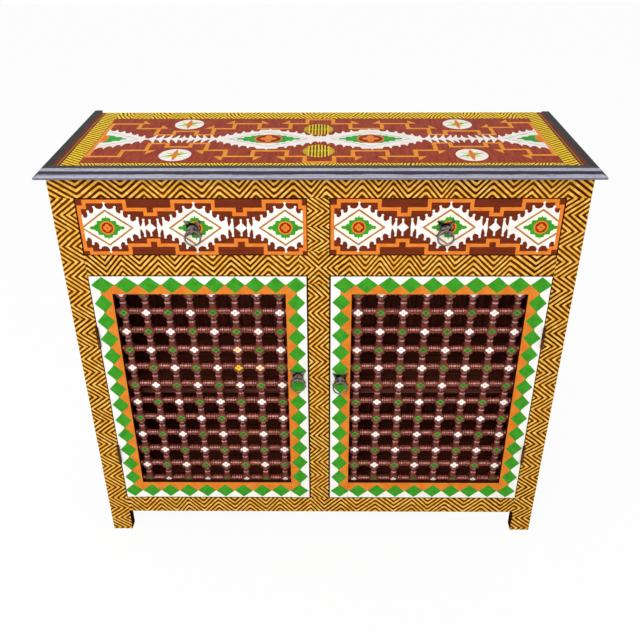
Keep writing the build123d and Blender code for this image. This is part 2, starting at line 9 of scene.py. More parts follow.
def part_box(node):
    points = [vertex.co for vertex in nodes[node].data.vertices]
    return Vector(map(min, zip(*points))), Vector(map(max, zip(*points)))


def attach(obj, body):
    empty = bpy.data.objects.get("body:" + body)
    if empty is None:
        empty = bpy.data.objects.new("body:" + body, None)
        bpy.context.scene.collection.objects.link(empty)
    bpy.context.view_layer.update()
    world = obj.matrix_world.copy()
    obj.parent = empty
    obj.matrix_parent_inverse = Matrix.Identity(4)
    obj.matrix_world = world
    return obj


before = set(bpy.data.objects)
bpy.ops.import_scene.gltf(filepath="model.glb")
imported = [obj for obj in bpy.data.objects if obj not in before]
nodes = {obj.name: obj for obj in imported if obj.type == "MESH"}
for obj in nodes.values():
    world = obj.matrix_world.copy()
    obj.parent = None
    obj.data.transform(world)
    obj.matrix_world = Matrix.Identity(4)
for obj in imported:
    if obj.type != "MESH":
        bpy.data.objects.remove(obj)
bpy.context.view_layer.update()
print("frame loaded:", len(nodes), "nodes")


def span(node):
    # a node's lowest and highest corners at rest, in mm
    low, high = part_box(node)
    return low * 1000, high * 1000


# faces that carry paint, in mm
frontY = span("front_rail_top")[0].y
backY = span("rear_post_left")[1].y
topZ = span("top_board")[1].z
underTopZ = span("top_edging_front")[0].z
latticeY = span("door_left_lattice_bars")[0].y
sideX = span("side_board_right")[1].x


# shaders: sums on sockets, and one way to add a node

def mathsMethod(operation, turned=False):
    # an operator that adds a Math node, or its reflected form
    def method(self, other):
        return self.tree.maths(operation, *((other, self) if turned else (self, other)))
    return method


class Wire:
    # a shader value that ordinary sums can use
    def __init__(self, tree, socket):
        self.tree = tree
        self.socket = socket

    __add__, __radd__ = mathsMethod("ADD"), mathsMethod("ADD", True)
    __sub__, __rsub__ = mathsMethod("SUBTRACT"), mathsMethod("SUBTRACT", True)
    __mul__, __rmul__ = mathsMethod("MULTIPLY"), mathsMethod("MULTIPLY", True)

    def __neg__(self):
        return 0 - self

    def __abs__(self):
        return self.tree.maths("ABSOLUTE", self)


def setStops(ramp, stops):
    while len(ramp.elements) < len(stops):
        ramp.elements.new(1)
    for element, (at, colour) in zip(ramp.elements, stops):
        element.position = at
        element.color = colour


class NodeTree:
    # the shader nodes of a material or of the world
    def __init__(self, holder):
        holder.use_nodes = True
        self.nodes = holder.node_tree.nodes
        self.links = holder.node_tree.links
        self.nodes.clear()

    def feed(self, socket, value):
        if isinstance(value, Wire):
            self.links.new(value.socket, socket)
        else:
            socket.default_value = value

    def node(self, kind, settings=None, inputs=None, out=0):
        # settings come first; inputs are values or links, by the socket's name or number
        made = self.nodes.new("ShaderNode" + kind)
        for name, value in (settings or {}).items():
            if name == "stops":
                setStops(made.color_ramp, value)
            else:
                setattr(made, name, value)
        for key, value in (inputs or {}).items():
            self.feed(made.inputs[key], value)
        return Wire(self, made.outputs[out]) if made.outputs else None

    def maths(self, operation, *values):
        return self.node("Math", {"operation": operation}, dict(enumerate(values)))


def tint(colour):
    # a colour as a paint chart gives it, 0 to 255, for a shader
    shares = [part / 255 for part in colour]
    return [c / 12.92 if c <= 0.04045 else ((c + 0.055) / 1.055) ** 2.4 for c in shares] + [1]


class Paint(NodeTree):
    # a material with one Principled shader
    def __init__(self, name, specular=0.03, metallic=0.0):
        self.material = bpy.data.materials.new(name)
        super().__init__(self.material)
        surface = self.node("BsdfPrincipled", None, {"Metallic": metallic, "Specular IOR Level": specular})
        self.node("OutputMaterial", None, {"Surface": surface})
        self.shader = surface.socket.node

    def mix(self, share, *colours):
        # the first colour where share is 0 and the second where it is 1, each from a paint chart or a node
        one, other = [c if isinstance(c, Wire) else tint(c) for c in colours]
        return self.node("Mix", {"data_type": "RGBA"}, {0: share, 6: one, 7: other}, 2)

    def ease(self, value, low, high, start=0.0, end=1.0):
        # start below low, end above high, and a smooth change between them
        settings = {"interpolation_type": "SMOOTHSTEP"}
        return self.node("MapRange", settings, {0: value, 1: low, 2: high, 3: start, 4: end})

    def fall(self, value, low, high):
        return self.ease(value, low, high, 1.0, 0.0)

    def past(self, value, edge, blur=0.3):
        # 1 above the edge, which is blurred by that much each way
        return self.ease(value, edge - blur, edge + blur)

    def between(self, value, low, high, blur=0.3):
        return self.past(value, low, blur) * (1 - self.past(value, high, blur))

    def parts(self, vector):
        return [self.node("SeparateXYZ", None, {0: vector}, i) for i in range(3)]

    def where(self):
        # x, y and z at rest, in mm
        spot = self.node("TexCoord", out="Object")
        return self.parts(self.node("VectorMath", {"operation": "SCALE"}, {0: spot, "Scale": 1000.0}))

    def facing(self):
        # the surface's direction, each part from -1 to 1
        return self.parts(self.node("TexCoord", out="Normal"))

    def onFront(self, low, high):
        # 1 on faces that look to the front
        return self.ease(-self.facing()[1], low, high)

    def grain(self, scale, detail=3.0, stretch=(1, 1, 1), rough=0.5):
        # soft random values round 0.5; scale is spots per metre
        spot = self.node("TexCoord", out="Object")
        drawn = self.node("VectorMath", {"operation": "MULTIPLY"}, {0: spot, 1: stretch})
        inputs = {"Vector": drawn, "Scale": scale, "Detail": detail, "Roughness": rough}
        return self.node("TexNoise", None, inputs)

    def sway(self, amount, scale, detail=2.0):
        # a soft random shift, up to about a third of amount each way
        return (self.grain(scale, detail) - 0.5) * amount

    def toned(self, spread, one, other, low=0.3, high=0.7):
        # one paint in two tones, shared out by a grain
        return self.mix(self.ease(spread, low, high), one, other)

    def show(self, colour, roughness, height, lift=0.16):
        # lift is the bump's full height in mm
        bump = self.node("Bump", None, {"Height": height, "Distance": lift * 0.001, "Strength": 1.0})
        for name, value in (("Base Color", colour), ("Roughness", roughness), ("Normal", bump)):
            self.feed(self.shader.inputs[name], value)
        return self

    def brushed(self, colour, coarse, fine, roughness=0.42, spread=0.16, lift=0.16):
        # brush marks: coarse and fine ridges, and a gloss that varies with the fine ones
        return self.show(colour, roughness + fine * spread, coarse * 0.6 + fine * 0.4, lift)


def finish(paint, *names):
    for name in names:
        mesh = nodes[name].data
        mesh.materials.clear()
        mesh.materials.append(paint.material)


# camera, floor and light, in metres

cameraSet = {
    "place": (0.0132, frontY * 0.001 - 1.3292, 1.3875),
    "down": 0.539,  # radians below level
    "turn": -0.010,  # radians to the right, so it looks slightly to the left
    "roll": -0.004,
    "lens": 42.84,
    "sensor": 36,
}
lightSet = {
    "worldLevel": 0.62,
    "keyPlace": (-0.9, -2.6, 2.9),
    "keyAim": (0, 0, 0.5),
    "keySize": 2.4,
    "keyWatts": 66,
}
floorSet = {"size": 16, "colour": (252, 252, 252), "ownLight": 0.94}


def addToScene(name, data):
    made = bpy.data.objects.new(name, data)
    bpy.context.scene.collection.objects.link(made)
    return made


def placeCamera(s):
    level, drop = math.cos(s["down"]), math.sin(s["down"])
    look = Vector((math.sin(s["turn"]) * level, math.cos(s["turn"]) * level, -drop))
    right = Vector((math.cos(s["turn"]), -math.sin(s["turn"]), 0))
    up = right.cross(look)
    c, d = math.cos(s["roll"]), math.sin(s["roll"])
    turned = Matrix((right * c + up * d, up * c - right * d, -look)).transposed().to_4x4()
    data = bpy.data.cameras.new("camera")
    data.sensor_fit = "HORIZONTAL"
    data.sensor_width = s["sensor"]
    data.lens = s["lens"]
    data.clip_end = 50
    camera = addToScene("camera", data)
    camera.matrix_world = Matrix.Translation(s["place"]) @ turned
    bpy.context.scene.camera = camera


def placeKey(s):
    data = bpy.data.lights.new("softKey", "AREA")
    data.energy = s["keyWatts"]
    data.size = s["keySize"]
    lamp = addToScene("softKey", data)
    lamp.location = s["keyPlace"]
    aim = Vector(s["keyAim"]) - Vector(s["keyPlace"])
    lamp.rotation_euler = aim.to_track_quat("-Z", "Y").to_euler()


def backdrop(tree, shown, lit, share):
    # what the camera and mirrors see is nearer white than what lights the object
    rays = ["Is %s Ray" % kind for kind in ("Camera", "Glossy", "Transmission")]
    camera, glossy, through = [tree.node("LightPath", out=ray) for ray in rays]
    seen = tree.node("Math", {"operation": "ADD", "use_clamp": True}, {0: camera, 1: glossy + through})
    return tree.node("MixShader", None, {0: seen * share, 1: lit, 2: shown})


def makeWorld(level):
    world = bpy.data.worlds.new("softRoom")
    bpy.context.scene.world = world
    tree = NodeTree(world)
    white = (1, 1, 1, 1)
    lit = tree.node("Background", None, {"Color": white, "Strength": level})
    shown = tree.node("Background", None, {"Color": white})
    tree.node("OutputWorld", None, {"Surface": backdrop(tree, shown, lit, 1.0)})


def makeFloor(s):
    half = s["size"] / 2
    mesh = bpy.data.meshes.new("floor")
    corners = [(-half, -half, 0), (half, -half, 0), (half, half, 0), (-half, half, 0)]
    mesh.from_pydata(corners, [], [(0, 1, 2, 3)])
    material = bpy.data.materials.new("paleFloor")
    tree = NodeTree(material)
    lit = tree.node("BsdfDiffuse", None, {"Color": tint(s["colour"])})
    shown = tree.node("Emission")
    tree.node("OutputMaterial", None, {"Surface": backdrop(tree, shown, lit, s["ownLight"])})
    mesh.materials.append(material)
    addToScene("floor", mesh)


placeCamera(cameraSet)
placeKey(lightSet)
makeWorld(lightSet["worldLevel"])
makeFloor(floorSet)
bpy.context.scene.view_settings.view_transform = "Standard"
print("camera, light and floor placed")


# zigzag painting on the framing

zigzagSet = {
    "yellow": ((232, 170, 54), (254, 210, 110)),
    "brown": ((106, 48, 0), (76, 28, 0)),
    "unpainted": ((58, 26, 14), (40, 17, 10)),
    "share": 0.47,  # how much of each pitch the yellow line takes
    "thickness": 0.14,  # how much that share varies along a line
    "soft": 0.035,  # blur of a line's edge, as a share of the pitch
    "drift": 7.0,  # how far an apex strays along its strip, mm
    "waver": 1.3,  # how unevenly the lines run, mm
    "lift": 2.0,  # how far the lowest line stands above the strip's edge
}
# each strip's node, how far its wave reaches across and the pitch of its lines, in mm; then either its
# apexes one by one, high and low in turn, or where its low apexes start and their period
strips = {
    "topRail": {"node": "front_rail_top", "reach": 34, "pitch": 12.1,
                "apexes": (-503, -451, -406, -367, -326, -291, -256, -217, -186, -148, -118, -84, -48, -15,
                           12, 49, 79, 109, 136, 164, 197, 226, 251, 288, 319, 357, 392, 427, 459, 506)},
    "middleRail": {"node": "front_rail_middle", "reach": 38, "pitch": 12.3,
                   "apexes": (-455, -419, -387, -352, -315, -283, -248, -208, -173, -136, -101, -62, -25, 15,
                              58, 89, 117, 144, 174, 202, 232, 263, 299, 338, 370, 420, 463)},
    "bottomRail": {"node": "front_rail_bottom", "reach": 41, "pitch": 12.5,
                   "apexes": (-452, -416, -380, -344, -314, -278, -243, -204, -168, -130, -97, -62, -24, 8,
                              48, 85, 129, 173, 216, 253, 293, 339, 381, 426, 462)},
    "leftPost": {"node": "front_post_left", "reach": 41, "pitch": 13.3, "start": 822, "period": 65.4},
    "rightPost": {"node": "front_post_right", "reach": 41, "pitch": 13.6, "start": 822, "period": 65.2},
    "drawerMullion": {"node": "drawer_mullion", "reach": 40, "pitch": 11.5, "start": 799, "period": 61},
    "doorMullion": {"node": "door_mullion", "reach": 40, "pitch": 11.6, "start": 687, "period": 78.9},
    "sideHead": {"node": "front_rail_top", "reach": 34, "pitch": 12.1, "start": -140, "period": 67},
    "sideFoot": {"node": "front_rail_bottom", "reach": 41, "pitch": 12.5, "start": -160, "period": 69},
}
# where the centre stiles meet the middle rail, four nests of chevrons point at one spot
crossing = {"x": -2.3, "z": 711.5, "reachX": 38, "reachZ": 36, "pitch": 11}
sideSet = {
    "border": 44,
    "bottom": 104,
    "top": 856,
    "field": ((120, 50, 35), (98, 38, 26)),
    "unpainted": ((70, 36, 22), (42, 19, 12)),
}


def strokes(p, lines):
    # a yellow line at each whole number
    s = zigzagSet
    away = abs(p.maths("FRACT", lines + 0.5) - 0.5)
    width = s["share"] / 2 + p.sway(s["thickness"], 60)
    return p.fall(away - width, -s["soft"], s["soft"])


def unevenness(p):
    return p.sway(zigzagSet["waver"], 75)


def wave(p, along, strip):
    # from 0 at a low apex to the strip's reach at a high one
    if "apexes" in strip:
        first, last = strip["apexes"][0], strip["apexes"][-1]
        stops = []
        for i, at in enumerate(strip["apexes"]):
            height = (i + 1) % 2
            stops.append(((at - first) / (last - first), (height, height, height, 1)))
        share = (along - first) * (1 / (last - first))
        return p.node("ValToRGB", {"stops": stops}, {"Fac": share}) * strip["reach"]
    half = strip["period"] / 2
    drift = p.sway(zigzagSet["drift"], 16, 1.0)
    return p.maths("PINGPONG", along + drift - strip["start"], half) * (strip["reach"] / half)


def zigzag(p, along, above, strip):
    # nested chevrons: copies of one triangle wave, shifted across the strip
    height = above + unevenness(p) - wave(p, along, strip) - zigzagSet["lift"]
    return strokes(p, height * (1 / strip["pitch"]))


def railLines(p, name, axis=0):
    # on a front along x, and on a side along y
    spot, strip = p.where(), strips[name]
    return zigzag(p, spot[axis], spot[2] - span(strip["node"])[0].z, strip)


def stileLines(p, name):
    x, y, z = p.where()
    strip = strips[name]
    return zigzag(p, z, x - span(strip["node"])[0].x, strip)


def postLines(p, name):
    # the top rail's pattern runs on across the posts
    above = p.past(p.where()[2], sideSet["top"])
    return stileLines(p, name) * (1 - above) + railLines(p, "topRail") * above


def crossed(p, lines):
    s = crossing
    x, y, z = p.where()
    outX, outZ = abs(x - s["x"]), abs(z - s["z"])
    nests = strokes(p, (abs(outX - outZ) + unevenness(p)) * (1 / s["pitch"]))
    away = p.maths("MAXIMUM", outX * (1 / s["reachX"]), outZ * (1 / s["reachZ"]))
    inside = p.fall(away, 0.98, 1.0)
    return lines * (1 - inside) + nests * inside


def sideBorder(p):
    # the side's border: the post pattern up both edges, the rail patterns across top and bottom
    x, y, z = p.where()
    high = backY - sideSet["border"]
    rear = p.ease(y, 4, 6)  # changes over from the front edge's strip to the rear edge's
    upright = zigzag(p, z, y - rear * (high - frontY) - frontY, strips["leftPost"])
    head, foot = railLines(p, "sideHead", 1), railLines(p, "sideFoot", 1)
    inside = p.between(y, frontY + sideSet["border"], high)
    above, below = p.past(z, sideSet["top"]), 1 - p.past(z, sideSet["bottom"])
    return upright * (1 - inside) + inside * (head * above + foot * below)


def onSides(p):
    # 1 on the outer faces of the side boards and posts
    nx, x = abs(p.facing()[0]), abs(p.where()[0])
    return p.ease(nx, 0.72, 0.8) * p.ease(x, sideX - 6, sideX - 4)


def zigzagColours(p, mask):
    yellow = p.toned(p.grain(120), *zigzagSet["yellow"], 0.35, 0.75)
    brown = p.toned(p.grain(14, 2.0), *zigzagSet["brown"], 0.3, 0.75)
    return p.mix(mask, brown, yellow)


def showLines(p, shown, unpainted, painted, mask, brush, roughness, spread):
    # the lines stand a little proud of the ground
    colour = p.mix(shown, unpainted, painted)
    return p.show(colour, roughness + brush * spread, mask * 0.7 + brush * 0.3, 0.22)


def framePaint(name, lines, withSides=False):
    # lines on the front, and on a post also the border on its side; every other face is plain brown
    p = Paint(name, specular=0.0)
    shown = p.onFront(0.45, 0.6)
    mask = lines(p) * shown
    if withSides:
        sides = onSides(p)
        mask = mask + sideBorder(p) * sides
        shown = p.maths("MAXIMUM", shown, sides)
    unpainted = p.mix(p.grain(25, 4.0, (1, 1, 6)), *zigzagSet["unpainted"])
    return showLines(p, shown, unpainted, zigzagColours(p, mask), mask, p.grain(160, 4.0), 0.42, 0.16)


def sidePaint():
    # side board: the border, and a plain field that carries the painted figures
    p = Paint("sideZigzags")
    x, y, z = p.where()
    s = sideSet
    field = p.between(y, frontY + s["border"], backY - s["border"]) * p.between(z, s["bottom"], s["top"])
    sides = onSides(p)
    mask = sideBorder(p) * sides
    brush = p.grain(30, 4.0, (1, 1, 7))
    painted = p.mix(field, zigzagColours(p, mask), p.toned(brush, *s["field"]))
    unpainted = p.mix(p.grain(20, 4.0, (1, 1, 9)), *s["unpainted"])
    return showLines(p, sides, unpainted, painted, mask, brush, 0.36, 0.16)


def paintStrip(name, lines, withSides=False):
    finish(framePaint(name + "Zigzags", lines, withSides), strips[name]["node"])


for name in ("leftPost", "rightPost"):
    paintStrip(name, lambda p: postLines(p, name), True)
for name in ("topRail", "middleRail", "bottomRail"):
    paintStrip(name, lambda p: crossed(p, railLines(p, name)))
for name in ("drawerMullion", "doorMullion"):
    paintStrip(name, lambda p: crossed(p, stileLines(p, name)))
finish(sidePaint(), "side_board_left", "side_board_right")
print("zigzags painted on the framing")


# stains, bare wood and metal

woodSet = {
    # light and dark grain, and the axis it runs along
    "innerStain": ((134, 68, 48), (86, 38, 27), "x"),
    "backRailStain": ((120, 74, 42), (84, 48, 26), "x"),
    "bareWood": ((214, 178, 132), (184, 142, 96), "x"),
    "bareWoodDeep": ((210, 174, 128), (180, 138, 92), "y"),
}
panelSet = {"outer": ((138, 92, 56), (96, 58, 32)), "inner": ((128, 62, 44), (84, 36, 26))}
metalSet = {
    # rubbed bright, dark, the roughness, and how strongly a painted highlight shows on upper and front
    # faces, with painted shade on lower and back ones
    "agedBronze": ((136, 124, 118), (34, 30, 30), 0.34, 0.2),
    "ringMetal": ((134, 126, 116), (32, 28, 26), 0.26, 0.4),
    "hingeMetal": ((110, 58, 38), (62, 30, 18), 0.42, 0.12),
    "screwMetal": ((196, 190, 172), (150, 142, 120), 0.32, 0.12),
}
grainShare = (0.36, 0.64)  # where a stain's light grain ends and its dark grain starts
stainRoughness = 0.54


def stretched(along, across, lengthwise):
    return [lengthwise if axis == along else across for axis in "xyz"]


def fibres(p, along):
    return p.grain(18, 4.0, stretched(along, 9.0, 0.7), 0.6)


def woodPaint(name):
    # long soft grain along one axis, pores and a little unevenness
    light, dark, along = woodSet[name]
    p = Paint(name, specular=0.25)
    rings = fibres(p, along)
    pores = p.grain(162, 3.0, stretched(along, 9.0, 0.7))
    colour = p.toned(rings * 0.75 + p.grain(7, 2.0) * 0.25, light, dark, *grainShare)
    colour = p.mix(p.fall(pores, 0.3, 0.42) * 0.5, colour, [part * 0.5 for part in dark])
    return p.show(colour, stainRoughness + rings * 0.14, rings * 0.6 + pores * 0.4, 0.18)


def backPanelPaint():
    # brown stain behind, and the shelf's dark stain on the face towards the doors
    p = Paint("backPanelStain", specular=0.2)
    rings = fibres(p, "z")
    outer, inner = [p.toned(rings, *panelSet[face], *grainShare) for face in ("outer", "inner")]
    return p.show(p.mix(p.onFront(0.2, 0.6), outer, inner), stainRoughness + rings * 0.14, rings, 0.18)


def rearPostPaint():
    # the border pattern on the outer side, plain stain elsewhere
    p = Paint("rearPostPaint")
    sides = onSides(p)
    mask = sideBorder(p) * sides
    rings = fibres(p, "z")
    stain = p.toned(rings, *woodSet["backRailStain"][:2], *grainShare)
    return showLines(p, sides, stain, zigzagColours(p, mask), mask, rings, 0.38, 0.14)


def metalPaint(name):
    # cast metal, rubbed bright in random clouds, with a painted highlight on faces that look up and to the
    # front and painted shade on those that look down and back
    light, dark, roughness, paintedHighlight = metalSet[name]
    p = Paint(name, metallic=1.0)
    pits = p.grain(420)
    clouds = p.grain(90)
    nx, ny, nz = p.facing()
    # random rubbing, plus painted highlight and painted shade by the way each face looks
    wornAndLit = p.ease(clouds + (nz - ny) * paintedHighlight, 0.42 + paintedHighlight * 0.6, 0.66 + paintedHighlight * 0.6)
    return p.show(p.mix(wornAndLit, dark, light), roughness - 0.08 + pits * 0.3, pits)


wood = {name: woodPaint(name) for name in woodSet}
metal = {name: metalPaint(name) for name in metalSet}
finish(wood["innerStain"], "shelf", "floor_board")
finish(backPanelPaint(), "back_panel")
finish(wood["backRailStain"], "rear_rail_bottom", "rear_rail_top")
finish(rearPostPaint(), "rear_post_left", "rear_post_right")
finish(wood["bareWoodDeep"], "drawer_runner_centre", "drawer_kickers", "board_battens")
for side in ("left", "right"):
    drawer = "drawer_%s_" % side
    finish(wood["bareWood"], drawer + "back", drawer + "bottom")
    finish(wood["bareWoodDeep"], drawer + "side_left", drawer + "side_right", "drawer_runner_" + side)
    for leaf in (drawer, "door_%s_" % side):
        finish(metal["agedBronze"], leaf + "pull_mount")
        finish(metal["ringMetal"], leaf + "ring")
    finish(metal["hingeMetal"], "door_%s_hinge_leaves" % side)
finish(metal["hingeMetal"], "hinge_post_leaves")
finish(metal["screwMetal"], "carcass_screws", "door_catches")
print("stains and metals set")


# doors: white and orange members, and the lattice between them

doorSet = {
    "stile": 42,
    "topRail": 40,
    "bottomRail": 46,
    "white": ((252, 252, 246), (244, 243, 232)),
    "orange": ((232, 138, 52), (222, 120, 36)),
    "edge": ((64, 28, 18), (44, 18, 12)),
    "split": 0.455,  # where white meets orange, as a share of each member's width
    "splitSway": 0.04,
    "diamondWide": 36.4,
    "across": 10,
    "down": 14,
    "gapAcross": 0.8,
    "gapDown": 0.6,
    "bottomRow": (21, 37.5),  # middle line from the leaf's edge and height of the diamonds on each rail, mm
    "topRow": (19.2, 36.5),
    # how far the diamonds stray along each member, mm: at its start and end, a bulge and a swing between
    "stray": {
        "left": {"top": (4, 0.7, 10, 2), "bottom": (-2.5, -2.2, -1, 0),
                 "first": (0, 0, -2.5, -1), "last": (0, 0, 6, 0)},
        "right": {"top": (6, 1.7, 2, 1.5), "bottom": (2, -2.4, 0.5, 0),
                  "first": (0, 0, 8, -3), "last": (0, 0, 5, 0)},
    },
}
doorMembers = ("hinge_stile", "latch_stile", "rail_bottom", "rail_top")
latticeSet = {
    "light": (172, 90, 74),
    "mid": (120, 58, 46),
    "dark": (68, 26, 22),
    # painted shade in the grooves between beads
    "groove": (46, 16, 14),
    "paintedHighlight": (228, 168, 158),  # painted highlight where beads face up and out
    "spindleShade": 0.5,  # painted shade: how far the spindles are darkened towards dark
    "rows": 12,
    "columns": 8,
    "bottomRow": 1,  # first and last rows from the opening's edge
    "topRow": 3.5,
    "edgeColumn": 14,
    "ring": 1.6,  # half the height of the painted highlight ring on each spindle
    "upperRing": 9.5,  # how far above it the fainter one is
}


def doorSpan(side):
    low, high = span("door_%s_hinge_stile" % side)
    other = span("door_%s_latch_stile" % side)
    return Vector((min(low.x, other[0].x), low.y, low.z)), Vector((max(high.x, other[1].x), high.y, high.z))


def latticeSpan(side):
    # the middles of the lattice's first and last columns, then of its lowest and highest rows
    s = latticeSet
    low, high = doorSpan(side)
    edge = doorSet["stile"] + s["edgeColumn"]
    foot, head = low.z + doorSet["bottomRail"] + s["bottomRow"], high.z - doorSet["topRail"] - s["topRow"]
    return low.x + edge, high.x - edge, foot, head


def doorPaint(side):
    # the outer half of each stile and rail is white, the inner half orange
    s = doorSet
    low, high = doorSpan(side)
    middle, reach = (low.x + high.x) / 2, (high.x - low.x) / 2
    p = Paint(side + "DoorPaint")
    x, y, z = p.where()
    across = (reach - abs(x - middle)) * (1 / s["stile"])
    upright = p.maths("MINIMUM", (z - low.z) * (1 / s["bottomRail"]), (high.z - z) * (1 / s["topRail"]))
    inset = p.maths("MINIMUM", across, upright) + p.sway(s["splitSway"], 40)
    brush = p.grain(45, 4.0)
    white = p.toned(brush, *s["white"], 0.35, 0.75)
    colour = p.mix(p.past(inset, s["split"], 0.01), white, p.toned(brush, *s["orange"]))
    edge = p.mix(brush, *s["edge"])
    return p.brushed(p.mix(p.onFront(0.3, 0.5), edge, colour), brush, p.grain(240))


def beadHighlight(p):
    # painted highlight on the upper front of each bead on a bar
    ny, nz = p.facing()[1:]
    return p.ease(nz * 0.62 - ny * 0.78, 0.945, 0.985)


def ringHighlight(p):
    # painted highlight on the turned ring half-way between two bars, and a fainter painted highlight above
    # it
    s = latticeSet
    foot, head = latticeSpan("left")[2:]
    half = (head - foot) / (s["rows"] - 1) / 2
    z = p.where()[2] - foot
    edge = half - s["ring"]
    middle = p.ease(p.maths("PINGPONG", z, half), edge - 0.6, edge)
    upper = p.ease(p.maths("PINGPONG", z - s["upperRing"], half), edge - 0.2, edge + 0.4)
    return p.onFront(0.3, 0.75) * (middle * 0.8 + upper * 0.4)


def latticePaint(name, along, shadeDepth, highlight):
    # the third argument is the member's painted shade: how far all of it is darkened towards dark, 0 to 1;
    # the stain's own grain counts for less as it grows
    s = latticeSet
    p = Paint(name, specular=0.14)
    streaks = p.grain(60, 4.0, stretched(along, 5.0, 1.0), 0.6)
    colour = p.toned(streaks, s["mid"], s["light"])
    # the stain's dark grain, and the painted shade that darkens the whole member
    colour = p.mix(p.ease(p.grain(30, 2.0), 0.5, 0.8) * 0.6 * (1 - shadeDepth) + shadeDepth, colour, s["dark"])
    # painted shade where the surface turns along the member, in the grooves between beads and rings
    lengthwise = abs(p.facing()["xyz".index(along)])
    colour = p.mix(p.ease(lengthwise, 0.25, 0.6) * 0.8, colour, s["groove"])
    # darker on faces that look straight to the front: dark stain on the blocks' faces round the flowers, and
    # painted shade along the bars' lower fronts
    colour = p.mix(p.onFront(0.93, 0.99) * 0.45, colour, s["dark"])
    # painted highlight on the beads and rings, broken up by the streaks
    paintedHighlight = highlight(p) * p.ease(streaks, 0.3, 0.6)
    return p.show(p.mix(paintedHighlight, colour, s["paintedHighlight"]), 0.24 + streaks * 0.2, streaks, 0.12)


barStainAndHighlights = latticePaint("barStainAndHighlights", "x", 0.0, beadHighlight)
spindleStainShadeAndHighlights = latticePaint("spindleStainShadeAndHighlights", "z", latticeSet["spindleShade"], ringHighlight)
for side in ("left", "right"):
    door = "door_%s_" % side
    finish(doorPaint(side), *[door + member for member in doorMembers])
    finish(barStainAndHighlights, door + "lattice_bars")
    finish(spindleStainShadeAndHighlights, door + "lattice_spindles")


# grounds of the drawers and the top, and the edging

drawerGround = {"face": ((122, 50, 26), (104, 40, 20)), "edge": (64, 22, 12)}


def drawerPaint(s):
    p = Paint("drawerGround")
    brush = p.grain(22, 4.0, (1, 1, 8), 0.6)
    colour = p.mix(p.onFront(0.8, 0.97), s["edge"], p.toned(brush, *s["face"]))
    return p.brushed(colour, brush, p.grain(240))


finish(drawerPaint(drawerGround), "drawer_left_front", "drawer_right_front")

topSet = {
    "ground": ((166, 68, 42), (136, 46, 28)),
    "borderYellow": ((255, 220, 26), (248, 196, 44)),
    "borderBrown": (76, 40, 0),
    "strip": ((124, 50, 22), (88, 30, 10)),
    "line": (196, 136, 66),
    "edge": (80, 40, 24),
    "fieldX": (-446, 450),
    "fieldY": (23, 313),  # behind the front plane
    "teeth": 6,  # how far the border's strokes run into the field, mm
    "margin": 477,  # where the plain strip at each end starts
    "lineSpan": (3.9, 5.9),  # the fine line on that strip, from the margin
    "backPitch": 9.0,
    "frontPitch": 6.9,
    "longSlant": 0.5,  # how far back the long borders' strokes run for each mm along
    "endPitch": 11.0,
    "endSlant": 0.7,  # how far back the end strokes run for each mm outward
    "turnAt": 40,  # length of a run of strokes before they slant the other way
}


def topBorderRun(p, x, back):
    # a value that grows by 1 from one slanting stroke to the next
    s = topSet
    drift, waver = p.sway(9, 24), p.sway(2.4, 90)
    lengthwise = p.maths("PINGPONG", x + drift * 2 + 450, s["turnAt"]) + back * s["longSlant"]
    sideways = back + drift * 0.6 - abs(x) * s["endSlant"]
    left, right = s["fieldX"]
    ends = p.maths("MAXIMUM", p.fall(x, left - 0.4, left), p.ease(x, right, right + 0.4))
    inFront = p.fall(back, s["fieldY"][0] + 20, s["fieldY"][0] + 30)
    tight = 1 / s["backPitch"] + inFront * (1 / s["frontPitch"] - 1 / s["backPitch"])
    return (sideways + waver) * ends * (1 / s["endPitch"]) + (lengthwise + waver) * (1 - ends) * tight


def topPaint():
    # red-brown field, and a border of fine slanting strokes that turn every hand's width
    s = topSet
    p = Paint("topGround")
    x, y, z = p.where()
    back = y - frontY
    brush = p.grain(26, 4.0, (7, 1, 1), 0.6)
    fine = p.grain(240)
    away = abs(p.maths("FRACT", topBorderRun(p, x, back)) - 0.5)
    teeth = (0.5 - away) * s["teeth"]
    near, far = s["fieldY"]
    field = p.between(x, *s["fieldX"], 0.4)
    field = field * p.ease(back + teeth, near + 2, near + 3) * p.fall(back - teeth, far - 3, far - 2)
    gaps = p.ease(away, 0.16, 0.23)
    yellow = p.toned(p.grain(70), *s["borderYellow"], 0.35, 0.7)
    border = p.mix(gaps, s["borderBrown"], yellow)
    out = abs(x) + p.sway(2, 30, 1.0) - s["margin"]
    border = p.mix(p.past(out, 0, 0.4), border, p.toned(brush, *s["strip"]))
    border = p.mix(p.between(out, *s["lineSpan"]) * 0.7, border, s["line"])
    painted = p.mix(field, border, p.toned(brush, *s["ground"], 0.3, 0.72))
    colour = p.mix(p.ease(p.facing()[2], 0.5, 0.7), s["edge"], painted)
    return p.show(colour, 0.42 + fine * 0.14, brush * 0.5 + fine * 0.3 + gaps * 0.3)


finish(topPaint(), "top_board")

edgingSet = {
    "ink": (46, 42, 48),
    "flat": (48, 42, 45),
    "charcoal": (50, 44, 46),
    "side": ((40, 35, 36), (28, 25, 27)),
    "arris": (62, 58, 62),
    # where each band of painted highlight and painted shade on the front's mouldings starts and ends, as
    # shares of the height, and its colour
    "litAndShadedBands": ((0.06, 0.24, (132, 124, 138)), (0.28, 0.44, (180, 180, 196)),
                  (0.48, 0.72, (62, 58, 72)), (0.77, 1.0, (172, 172, 184))),
}


def draggedGrain(p, stretch):
    return p.grain(22, 4.0, stretch, 0.65), p.grain(150, 3.0, stretch)


